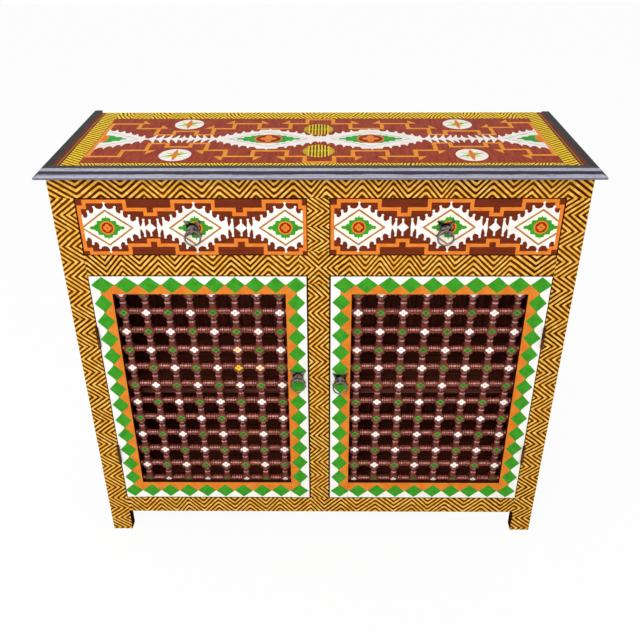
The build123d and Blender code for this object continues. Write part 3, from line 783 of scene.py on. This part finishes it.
def frontEdgingPaint():
    # pale grey over charcoal, laid on in bands by height: the pale bands on the roll and the lower bead are
    # painted highlight, the dark band in the cove and the darker bottom edge painted shade; random wear lets
    # the charcoal through
    s = edgingSet
    p = Paint("frontEdging", specular=0.08)
    z, nz = p.where()[2], p.facing()[2]
    drag, fine = draggedGrain(p, (0.8, 9, 14))
    height = (z - underTopZ + (drag - 0.5) * 2.4) * (1 / (topZ - underTopZ))
    stops = [(0.0, tint(s["ink"]))]
    for low, high, colour in s["litAndShadedBands"]:
        stops += [(low, tint(colour)), (high, tint(colour))]
    # painted highlight and painted shade, band by band up the front
    banded = p.node("ValToRGB", {"stops": stops}, {"Fac": height})
    worn = p.ease(fine * 0.6 + drag * 0.4, 0.47, 0.62) * 0.5
    flat = p.ease(nz, 0.97, 0.99) * p.ease(z, topZ - 0.5, topZ - 0.2)
    # the flat top and the faces that look down take the dark tones; on the downward faces this is painted
    # shade
    plain = p.maths("MAXIMUM", flat, p.ease(-nz, 0.7, 0.9))
    colour = p.mix(plain, p.mix(worn, banded, s["charcoal"]), p.toned(drag, s["flat"], s["ink"]))
    return p.brushed(colour, drag, fine, 0.34, 0.2)


def sideEdgingPaint():
    # charcoal, paler in random patches on the outward-sloping faces of its upper part
    s = edgingSet
    p = Paint("sideEdging", specular=0.06)
    drag, fine = draggedGrain(p, (9, 0.8, 14))
    sloped = p.ease(abs(p.facing()[0]), 0.2, 0.6) * p.ease(p.where()[2], underTopZ + 9, underTopZ + 14)
    colour = p.mix(sloped * p.ease(fine, 0.3, 0.6), p.toned(drag, *s["side"]), s["arris"])
    return p.brushed(colour, drag, fine, 0.36, 0.2)


finish(frontEdgingPaint(), "top_edging_front")
finish(sideEdgingPaint(), "top_edging_left", "top_edging_right")
print("grounds painted")


# painted figures: thin raised layers of paint

figureColours = {
    "white": ((252, 250, 244), (246, 234, 228)),
    "cream": ((254, 253, 236), (248, 246, 222)),
    "orange": ((238, 138, 54), (230, 122, 38)),
    "tan": ((190, 134, 84), (172, 112, 58)),
    "green": ((70, 164, 44), (54, 144, 34)),
    "oliveGreen": ((96, 156, 62), (74, 134, 44)),
    "leafGreen": ((60, 172, 62), (44, 150, 48)),
    "red": ((150, 46, 14), (128, 34, 10)),
    "dot": ((180, 92, 32), (150, 70, 22)),
    "grey": ((186, 186, 172), (156, 158, 146)),
    "deepGreen": ((58, 118, 40), (44, 98, 32)),
    "yellow": ((244, 214, 50), (230, 194, 36)),
    "olive": ((204, 174, 42), (176, 146, 30)),
    "stroke": ((84, 52, 6), (64, 38, 4)),
    "lime": ((226, 232, 120), (206, 216, 90)),
    "peach": ((242, 156, 52), (230, 142, 42)),
    "warmCream": ((252, 232, 196), (244, 204, 150)),
}
layerStep = 0.13  # how much each coat stands over the last, mm
sunk = 0.12  # how far each layer reaches into what carries it
handSeed = 1  # fixes the painter's small slips, which would otherwise differ from run to run
noise.seed_set(handSeed)


def flatPaint(colour, tones):
    # one brushed colour with small changes of tone
    p = Paint("figure" + colour[0].upper() + colour[1:])
    brush = p.grain(55, 4.0, (1, 1, 1), 0.6)
    return p.brushed(p.toned(brush, *tones, 0.3, 0.72), brush, p.grain(260), lift=0.14)


figurePaints = {colour: flatPaint(colour, tones) for colour, tones in figureColours.items()}


# where a figure's point lies, in mm: u and v run over the surface, and w stands out from it
places = {
    "front": lambda u, v, w: (u, frontY - w, v),
    "lattice": lambda u, v, w: (u, latticeY - w, v),
    "top": lambda u, v, w: (u, frontY + v, topZ + w),
    "left": lambda u, v, w: (-sideX - w, u, v),
    "right": lambda u, v, w: (sideX + w, u, v),
}


def metres(spot):
    return [part * 0.001 for part in spot]


# outlines are lists of points in mm

def mirrored(half):
    # an outline from its right-hand upper half, closed below
    return half + [(u, -v) for u, v in reversed(half)]


def fourWay(quarter):
    # a closed outline from its top-right quarter, listed from top to right
    right = [(u, -v) for u, v in reversed(quarter) if v > 0]
    half = quarter + right
    left = [(-u, v) for u, v in reversed(half) if u > 0]
    return half + left


def moved(loop, u=0, v=0, scale=1, turned=False, wide=1):
    if turned:
        loop = [(b, a) for a, b in loop]
    return [(a * scale * wide + u, b * scale + v) for a, b in loop]


def placed(layers, *where):
    # layers drawn about the origin, set down as moved says
    return [(colour, [moved(loop, *where) for loop in loops], coat) for colour, loops, coat in layers]


def boxOf(wide, tall):
    return [(-wide, -tall), (wide, -tall), (wide, tall), (-wide, tall)]


def lozengeOf(wide, tall):
    return [(0, tall), (wide, 0), (0, -tall), (-wide, 0)]


def ringOf(radius, count=28, tall=1):
    turns = [2 * math.pi * i / count for i in range(count)]
    return [(radius * math.cos(turn), radius * tall * math.sin(turn)) for turn in turns]


def lens(length, width, angle=0, count=9):
    # a pointed leaf about the origin
    shares = [i / (count - 1) for i in range(count)]
    edge = [((share - 0.5) * length, width / 2 * math.sin(math.pi * share)) for share in shares]
    loop = edge + [(a, -b) for a, b in reversed(edge[1:-1])]
    c, s = math.cos(angle), math.sin(angle)
    return [(a * c - b * s, a * s + b * c) for a, b in loop]


def flower(radius, waist, power=0.55, count=32):
    # four petals, rounder as power falls
    loop = []
    for i in range(count):
        turn = 2 * math.pi * i / count
        reach = radius * (waist + (1 - waist) * abs(math.cos(2 * turn)) ** power)
        loop.append((reach * math.cos(turn), reach * math.sin(turn)))
    return loop


def band(points, width, closed=False):
    # the outline of a stroke with square corners
    ring = points + points[:1] if closed else points
    normals = []
    for (a, b), (c, d) in zip(ring, ring[1:]):
        run = math.hypot(c - a, d - b)
        normals.append(((b - d) / run, (c - a) / run))
    sides = ([], [])
    before, after = [normals[-1 if closed else 0]] + normals, normals + normals[-1:]
    for (u, v), (a, b), (c, d) in zip(points, before, after):
        reach = width / 2 / (1 + a * c + b * d)
        across, up = (a + c) * reach, (b + d) * reach
        sides[0].append((u + across, v + up))
        sides[1].append((u - across, v - up))
    return [sides[0], sides[1]] if closed else [sides[0] + sides[1][::-1]]


def meander(uprights, upper, lower):
    # a closed line of level runs between its uprights, along the upper levels and back along the lower ones
    edges = []
    for levels in (upper, lower):
        runs = zip(uprights, uprights[1:], levels)
        edges.append([(u, level) for start, end, level in runs for u in (start, end)])
    return edges[0] + edges[1][::-1]


def handDrawn(loop, seed, size, step=6):
    # short sides, each point moved a little, as a brush line is
    made = []
    for (a, b), (c, d) in zip(loop, loop[1:] + loop[:1]):
        parts = max(1, math.ceil(math.hypot(c - a, d - b) / step))
        made += [(a + (c - a) * i / parts, b + (d - b) * i / parts) for i in range(parts)]
    moves = [noise.noise_vector(Vector((u * 0.09, v * 0.09, seed * 7.3))) for u, v in made]
    return [(u + move.x * size, v + move.y * size) for (u, v), move in zip(made, moves)]


def addPrism(mesh, loops, place, top, index):
    # a closed slab between the loops' flat shape, sunk a little, and the same shape at height top
    flat = [[Vector((u, v, 0)) for u, v in loop] for loop in loops]
    points = [point for loop in flat for point in loop]
    low, high = [[mesh.verts.new(metres(place(p.x, p.y, w))) for p in points] for w in (-sunk, top)]
    faces = []
    for tri in tessellate_polygon(flat):
        faces.append(mesh.faces.new([high[i] for i in tri]))
        faces.append(mesh.faces.new([low[i] for i in reversed(tri)]))
    start = 0
    for loop in flat:
        for i in range(len(loop)):
            a, b = start + i, start + (i + 1) % len(loop)
            faces.append(mesh.faces.new((low[a], low[b], high[b], high[a])))
        start += len(loop)
    for face in faces:
        face.material_index = index


def trim(mesh, point, normal):
    # cuts off what lies past the plane, and closes the cut ends
    whole = mesh.verts[:] + mesh.edges[:] + mesh.faces[:]
    cut = bmesh.ops.bisect_plane(mesh, geom=whole, plane_co=point, plane_no=normal, clear_outer=True)
    edges = [e for e in cut["geom_cut"] if isinstance(e, bmesh.types.BMEdge)]
    bmesh.ops.holes_fill(mesh, edges=edges)


def toMesh(drawn, name):
    mesh = bpy.data.meshes.new(name)
    drawn.to_mesh(mesh)
    drawn.free()
    return mesh


def paintFigure(name, body, surface, groups, rough=0.35):
    # groups: each a list of layers (colour, loops, coat) and a list of trimming planes
    used = []
    whole = bmesh.new()
    for number, (layers, cuts) in enumerate(groups):
        part = bmesh.new()
        for count, (colour, loops, coat) in enumerate(layers):
            if colour not in used:
                used.append(colour)
            drawn = [handDrawn(loop, count + number * 50, rough) for loop in loops]
            addPrism(part, drawn, places[surface], coat * layerStep, used.index(colour))
        for point, normal in cuts:
            trim(part, metres(point), normal)
        kept = toMesh(part, "part")
        whole.from_mesh(kept)
        bpy.data.meshes.remove(kept)
    bmesh.ops.recalc_face_normals(whole, faces=whole.faces)
    mesh = toMesh(whole, name)
    for colour in used:
        mesh.materials.append(figurePaints[colour].material)
    piece = addToScene(name, mesh)
    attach(piece, body)


# drawer figures

drawerFigure = {
    "outline": [(0, 51), (2, 44), (4.6, 39.8), (9.5, 37.8), (15.6, 39.4), (18.8, 43), (20.6, 39.5),
                (21.4, 33), (24.4, 29.4), (28.6, 29.8), (31.6, 34.5), (33.3, 31), (33.7, 24), (36.8, 20.2),
                (41, 21), (44, 26), (45.9, 22.5), (46.4, 15.6), (50, 12.4), (56.6, 16), (59, 21), (61, 18),
                (61.7, 6), (64, 2), (67, 8), (70, 17), (72, 14), (73, 0.8)],
    "balls": [(0, 50), (19.4, 42), (32, 33.4), (44.6, 24.8), (59.4, 19.8), (70.4, 16.4)],
    "ball": 2.5,
    "lozenge": (48, 35.5),
    "lozengeLine": 3.4,
    "green": [(0, 25.5), (1.4, 20.5), (7.5, 20.5), (9, 14.8), (18, 14.3), (19.5, 7), (23, 6.5), (24.5, 3.6),
              (31, 3.2), (33.5, 0.4)],
    "rosette": (13.8, 10.9),  # radii of its orange and red discs
    "petals": 8,
    "dot": 1.7,
    "link": [(0, 16.5), (1.8, 13.5), (1.8, 9), (11.4, 0)],
    "linkBall": (15.6, 2.3),  # its height and radius
}


def diamondLayers(*where):
    s = drawerFigure
    balls = []
    for a, b in s["balls"]:
        for c, d in {(a, b), (-a, b), (a, -b), (-a, -b)}:
            balls.append(("white", [moved(ringOf(s["ball"], 10), c, d)], 2.2))
    lozenge = lozengeOf(*s["lozenge"])
    layers = [
        ("white", [fourWay(s["outline"])], 2),
        *balls,
        ("cream", [lozenge], 3),
        ("tan", band(lozenge, s["lozengeLine"], True), 4),
        ("green", [fourWay(s["green"])], 4.3),
        ("orange", [ringOf(s["rosette"][0])], 5),
        ("red", [ringOf(s["rosette"][1])], 6),
        ("orange", [flower(s["petals"], 0.62)], 7),
        ("dot", [ringOf(s["dot"], 12)], 8),
    ]
    return placed(layers, *where)


def linkLayers(*where):
    # the small diamond between two large ones, with a ball at each end
    s = drawerFigure
    height, radius = s["linkBall"]
    layers = [("white", [fourWay(s["link"])], 2.5)]
    layers += [("white", [moved(ringOf(radius, 10), 0, way * height)], 2.7) for way in (1, -1)]
    return placed(layers, *where)


drawers = {
    "left": {
        "centres": (-403.7, -235.8, -65.2),
        "links": (-321.5, -149),
        "height": 796.2,
        "uprights": (-451.8, -441.2, -365.4, -327.8, -308.9, -275, -199.4, -160.7, -140.1, -104.3, -36.5,
                     -28.6),
        "upper": {"top": 849.6, "step": 833.6, "dip": 823.7, "corner": 838},
        "lower": {"top": 743.1, "step": 760, "dip": 770.6, "corner": 751},
    },
    "right": {
        "centres": (74, 245.2, 418.3),
        "links": (157.5, 331.3),
        "height": 797.4,
        "uprights": (24.2, 35.8, 112.2, 148.8, 168.4, 205.2, 284.5, 321.5, 341, 380.3, 441.9, 452.3),
        "upper": {"top": 850.9, "step": 834.4, "dip": 823.2, "corner": 839.4},
        "lower": {"top": 743.8, "step": 759.8, "dip": 770.2, "corner": 754},
    },
}
meanderLevels = ("corner", "top", "step", "dip", "step", "top", "step", "dip", "step", "top", "corner")
meanderLine = 7.1


for side, s in drawers.items():
    upper, lower = [[levels[name] for name in meanderLevels] for levels in (s["upper"], s["lower"])]
    orange = [("orange", band(meander(s["uprights"], upper, lower), meanderLine, True), 1)]
    figures = []
    for centre in s["centres"]:
        figures += diamondLayers(centre, s["height"])
    for link in s["links"]:
        figures += linkLayers(link, s["height"])
    inset = meanderLine / 2 - 0.4
    first, last = s["uprights"][0] + inset, s["uprights"][-1] - inset
    cuts = [((first, 0, 0), (-1, 0, 0)), ((last, 0, 0), (1, 0, 0))]
    name = "drawer%sFigures" % side.title()
    paintFigure(name, "drawer_" + side, "front", [(orange, []), (figures, cuts)])
print("drawer figures drawn")


# door diamonds and lattice flowers

flowerSet = {
    # colours of petals and heart, then radius of petals and heart, mm
    "white": ("white", "grey", 8.9, 1.5),
    "green": ("oliveGreen", "deepGreen", 8.2, 3.2),
    "squash": 0.86,
    "scatter": 0.8,
    "lastSize": 0.68,
    "lastRise": 2.0,
    # flowers of other colours on the left door, by row and column
    "special": {(4, 5): ("yellow", "dot"), (3, 5): ("warmCream", "orange"),
                (4, 6): ("warmCream", "orange")},
}


def straying(low, high, count, stray):
    # the two ends of each of a row of diamonds
    start, end, bulge, swing = stray
    middles = []
    for i in range(count):
        t = i / (count - 1)
        off = start + (end - start) * t + bulge * math.sin(math.pi * t) + swing * math.sin(2 * math.pi * t)
        middles.append(low + (high - low) * t + off)
    joins = [(a + b) / 2 for a, b in zip(middles, middles[1:])]
    joins = [2 * middles[0] - joins[0]] + joins + [2 * middles[-1] - joins[-1]]
    return list(zip(joins, joins[1:]))


def doorDiamonds(side):
    # green diamonds tip to tip along the middle of each stile and rail
    s = doorSet
    low, high = doorSpan(side)
    stray = s["stray"][side]
    x0, x1 = low.x + s["stile"] / 2, high.x - s["stile"] / 2
    z0, z1 = low.z + s["bottomRow"][0], high.z - s["topRow"][0]
    spots = []
    for v, tall, name in ((z0, s["bottomRow"][1], "bottom"), (z1, s["topRow"][1], "top")):
        for a, b in straying(x0, x1, s["across"], stray[name]):
            spots.append(((a + b) / 2, v, b - a - s["gapAcross"], tall))
    for u, name in ((x0, "first"), (x1, "last")):
        for a, b in straying(z0, z1, s["down"], stray[name])[1:-1]:
            spots.append((u, (a + b) / 2, s["diamondWide"], b - a - s["gapDown"]))
    layers = []
    for number, (u, v, wide, tall) in enumerate(spots):
        jig = noise.noise_vector(Vector((number * 3.7, u * 0.01, 2.0)))
        tips = [(0, tall / 2), (wide / 2, jig.x * 2), (jig.y * 2, -tall / 2), (-wide / 2, jig.z * 2)]
        layers.append(("green", [moved(tips, u + jig.y * 0.8, v)], 1.5 + 0.3 * (number % 2)))
    return layers


def doorFlowers(side):
    # a flower on each block of the lattice, white and green by turns
    s = flowerSet
    rows, columns = latticeSet["rows"], latticeSet["columns"]
    x0, x1, z0, z1 = latticeSpan(side)
    layers = []
    for row in range(rows):
        for column in range(columns):
            place = column if side == "left" else columns - 1 - column
            u = x0 + (x1 - x0) * column / (columns - 1)
            v = z1 - (z1 - z0) * row / (rows - 1)
            jig = noise.noise_vector(Vector((row * 5.1, column * 3.3, 1.0 if side == "left" else 9.0)))
            u, v = u + jig.x * s["scatter"], v + jig.y * s["scatter"]
            petals, heart, size, middle = s["green"] if (row + place) % 2 else s["white"]
            if side == "left" and (row, column) in s["special"]:
                petals, heart = s["special"][row, column]
                middle = s["white"][3]
            size *= 1 + jig.z * 0.09
            if row == rows - 1:  # the lowest blocks are half behind the rail
                size, v = size * s["lastSize"], v + s["lastRise"]
            outline = [(a, b * s["squash"]) for a, b in flower(size, 0.62, 0.8)]
            layers.append((petals, [moved(outline, u, v)], 1.5))
            layers.append((heart, [moved(ringOf(middle, 12, s["squash"]), u, v)], 2.5))
    return layers


for side in ("left", "right"):
    body = "door_" + side
    stem = "door" + side.title()
    paintFigure(stem + "Diamonds", body, "front", [(doorDiamonds(side), [])], 0.5)
    paintFigure(stem + "Flowers", body, "lattice", [(doorFlowers(side), [])], 0.5)
print("door figures drawn")


# figures on the top

topFigure = {
    "middle": 168.3,  # behind the front plane
    "line": 8.2,
    "uprights": (-440.5, -380, -336, -300, -254, -221, -181, -128, -63, -28, 27, 63, 129, 183, 224, 256, 325,
                 354, 400, 445.5),
    "upper": (272, 239, 196, 220, 196, 238, 273, 238, 273, 303, 272, 238, 273, 238, 197, 221, 197, 245, 279),
    "lower": (62, 98, 140, 119, 140, 98, 62, 95, 62, 30, 61, 95, 62, 97, 142, 119, 142, 102, 69),
    "upperHooks": (1, 2, 5, 6, 7, 8, 11, 12, 13, 14, 17, 18),  # uprights that carry a small triangle
    "lowerHooks": (2, 5, 6, 7, 8, 11, 12, 13, 14, 17, 18),
    "hook": (17, 23),
    "diamonds": ((-103.7, 2.0), (101, 2.4)),  # each with its coat, since their tips cross
    "outline": [(0, 68), (3, 61), (20, 61), (23, 50), (33, 49), (37, 60), (41, 44), (50, 42), (55, 53),
                (58, 36), (65, 35), (70, 44), (75, 26), (82, 25), (86, 34), (90, 17), (96, 15), (100, 24),
                (104, 7), (110, 3)],
    "green": [(0, 26), (22, 26), (24, 21), (35, 20), (36, 14), (48, 13), (50, 5), (62, 4), (64, 0.5)],
    "lozenge": (78, 48),
    "lozengeLine": 1.6,
    "rosette": (28, 24.5),
    "petals": ((7.4, 9), (6.8, 11)),  # at its sides, then above and below: radius, and how far out
    "halfOutline": [(0, 66), (6, 54), (12, 52), (17, 62), (21, 47), (28, 45), (33, 54), (38, 38), (44, 37),
                    (48, 45), (53, 30), (60, 26), (65, 33), (69, 18), (76, 14), (81, 26), (85, 6), (89, 2)],
    "halfGreen": [(6, 24), (14, 22), (20, 20), (24, 13), (36, 12), (38, 4), (48, 2.5)],
    "halfLozenge": (72, 48),
    "bow": (13, 25),
    "bowTurns": (1.1, 0.7, 0.35, 0, -0.35, -0.7, -1.1),
    "star": [(0, 24), (3, 9), (13, 2)],
    "stars": (-275, 286, 1),
    "arrow": [(3.4, 2), (4.2, 24), (2.2, 25), (-3, 12), (-9.5, 2.6)],
    # each arrow's place, and the way it points
    "links": ((-335, -1), (-319.5, -1), (-303.5, -1), (-288.5, -1), (-261, 1), (-247.5, 1), (-233, 1),
              (-218, 1), (218, -1), (232, -1), (247, -1), (261.5, -1), (272.4, -1), (303, 1), (318, 1),
              (331.5, 1), (346, 1)),
    "spines": ((-352, -206), (206, 356)),
    "spine": 3.6,
    "discs": ((-277.7, 268.3), (-275, 70.3), (289, 268), (288, 70)),
    "disc": (30.5, 34.5),
    # each leaf on a disc: colour, coat, length, width and angle
    "leaves": (("lime", 3, 52, 11, 2.5), ("lime", 3.3, 50, 10, 0.9), ("deepGreen", 4, 57, 4.5, 0.42),
               ("orange", 5, 65, 11, 1.57), ("tan", 5.4, 57, 2.2, 1.57)),
    "combs": ((-3.5, 232), (-2.5, 93.7)),
    "comb": (30.7, 34),
    "combStep": 6.3,
}


def topHooks(s):
    made = []
    wide, tall = s["hook"]
    for levels, way, hooks in ((s["upper"], 1, s["upperHooks"]), (s["lower"], -1, s["lowerHooks"])):
        for i in hooks:
            outer = max(levels[i - 1], levels[i]) if way > 0 else min(levels[i - 1], levels[i])
            hand = 1 if outer == levels[i - 1] else -1
            u = s["uprights"][i] + hand * s["line"] * 0.3
            made.append([(u, outer + way * tall), (u, outer), (u + hand * wide, outer)])
    return made


def topDiamond(s, coat):
    layers = [
        ("white", [fourWay(s["outline"])], coat),
        ("grey", band(lozengeOf(*s["lozenge"]), s["lozengeLine"], True), 3),
        ("leafGreen", [fourWay(s["green"])], 4),
        ("orange", [ringOf(s["rosette"][0])], 5),
        ("red", [ringOf(s["rosette"][1])], 6),
    ]
    across, along = s["petals"]
    for way in (1, -1):
        layers.append(("orange", [moved(ringOf(across[0], 18), way * across[1])], 7))
        layers.append(("orange", [moved(ringOf(along[0], 18, 1.5), 0, way * along[1])], 7.4))
    return layers + [("orange", [boxOf(6, 6)], 7.8)]


def topHalfDiamond(s):
    # for the field's left end; the right one has it the other way round
    wide, tall = s["halfLozenge"]
    deep, high = s["bow"]
    bow = [(deep * math.cos(turn), high * math.sin(turn)) for turn in s["bowTurns"]]
    return [
        ("white", [mirrored(s["halfOutline"])], 2),
        ("grey", band([(2, tall), (wide, 0)], s["lozengeLine"]), 3.2),
        ("grey", band([(2, -tall), (wide, 0)], s["lozengeLine"]), 2.8),
        ("leafGreen", [mirrored(s["halfGreen"])], 4),
        ("orange", [moved([(0, high), *bow, (0, -high)], -1)], 5),
    ]


def discLayers(s):
    wide, tall = s["disc"]
    layers = [("white", [ringOf(wide, 36, tall / wide)], 2)]
    return layers + [(colour, [lens(*shape)], coat) for colour, coat, *shape in s["leaves"]]


def combLayers(s):
    # an olive disc with yellow teeth, and brown strokes between them
    wide, tall = s["comb"]
    layers = [("olive", [ringOf(wide, 36, tall / wide)], 2)]
    for count in range(-3, 4):
        a = count * s["combStep"]
        top = tall * math.sqrt(1 - (a / wide) ** 2) + 2.5
        layers.append(("yellow", [moved(boxOf(1.5, top), a)], 3.4))
        if count < 3:
            layers.append(("stroke", [moved(boxOf(1.6, top - 4), a + s["combStep"] / 2)], 3))
    return layers + [("yellow", [boxOf(wide - 4, 1.3)], 3.8)]


def topLayers(s):
    mid = s["middle"]
    layers = [("peach", band(meander(s["uprights"], s["upper"], s["lower"]), s["line"], True), 1)]
    layers += [("peach", [hook], 1.3) for hook in topHooks(s)]
    for u, coat in s["diamonds"]:
        layers += placed(topDiamond(s, coat), u, mid)
    for hand, u in ((1, s["uprights"][0] + 3), (-1, s["uprights"][-1] - 3)):
        layers += placed(topHalfDiamond(s), u, mid, 1, False, hand)
    for count, (u, hand) in enumerate(s["links"]):
        arrow = moved(mirrored(s["arrow"]), u, mid, 1, False, -hand)
        layers.append(("white", [arrow], 2.2 + 0.3 * (count % 2)))
    for low, high in s["spines"]:
        spine = moved(boxOf((high - low) / 2, s["spine"]), (low + high) / 2, mid)
        layers.append(("white", [spine], 2.05))
    layers += [("white", [moved(fourWay(s["star"]), u, mid)], 2.8) for u in s["stars"]]
    for spots, drawn in ((s["discs"], discLayers(s)), (s["combs"], combLayers(s))):
        for spot in spots:
            layers += placed(drawn, *spot)
    return layers


paintFigure("topFigures", "carcass", "top", [(topLayers(topFigure), [])], 0.6)
print("top figures drawn")


# figures on the sides

sideFigure = {
    "centres": (225, 480, 735),
    "links": (352.5, 607.5),
    "scale": 1.55,
    "line": 8,
    "gap": 9,
    "corner": 22,
    "notch": (18, 30),  # its depth and half its height
}


def sideMeander(s):
    # a stepped orange line just inside the zigzag border
    edge, corner = sideSet["border"] + s["gap"], s["corner"]
    low, high = frontY + edge, backY - edge
    foot, head = sideSet["bottom"] + s["gap"], sideSet["top"] - s["gap"]
    deep, half = s["notch"]
    left = [(low, foot + corner)]
    for link in s["links"]:
        left += [(low + u, link + v) for u, v in ((0, -half), (deep, -half), (deep, half), (0, half))]
    left += [(low, head - corner), (low + corner, head - corner), (low + corner, head)]
    right = [(low + high - u, v) for u, v in reversed(left)]
    right += [(high - corner, foot + corner), (high - corner, foot)]
    return left + right + [(low + corner, foot), (low + corner, foot + corner)]


def sideLayers(s):
    middle = (frontY + backY) / 2
    layers = [("orange", band(sideMeander(s), s["line"], True), 1)]
    for v in s["centres"]:
        layers += diamondLayers(middle, v, s["scale"], True)
    for v in s["links"]:
        layers += linkLayers(middle, v, s["scale"], True)
    return layers


for side in ("left", "right"):
    name = "side%sFigures" % side.title()
    paintFigure(name, "carcass", side, [(sideLayers(sideFigure), [])], 0.6)
print("side figures drawn")
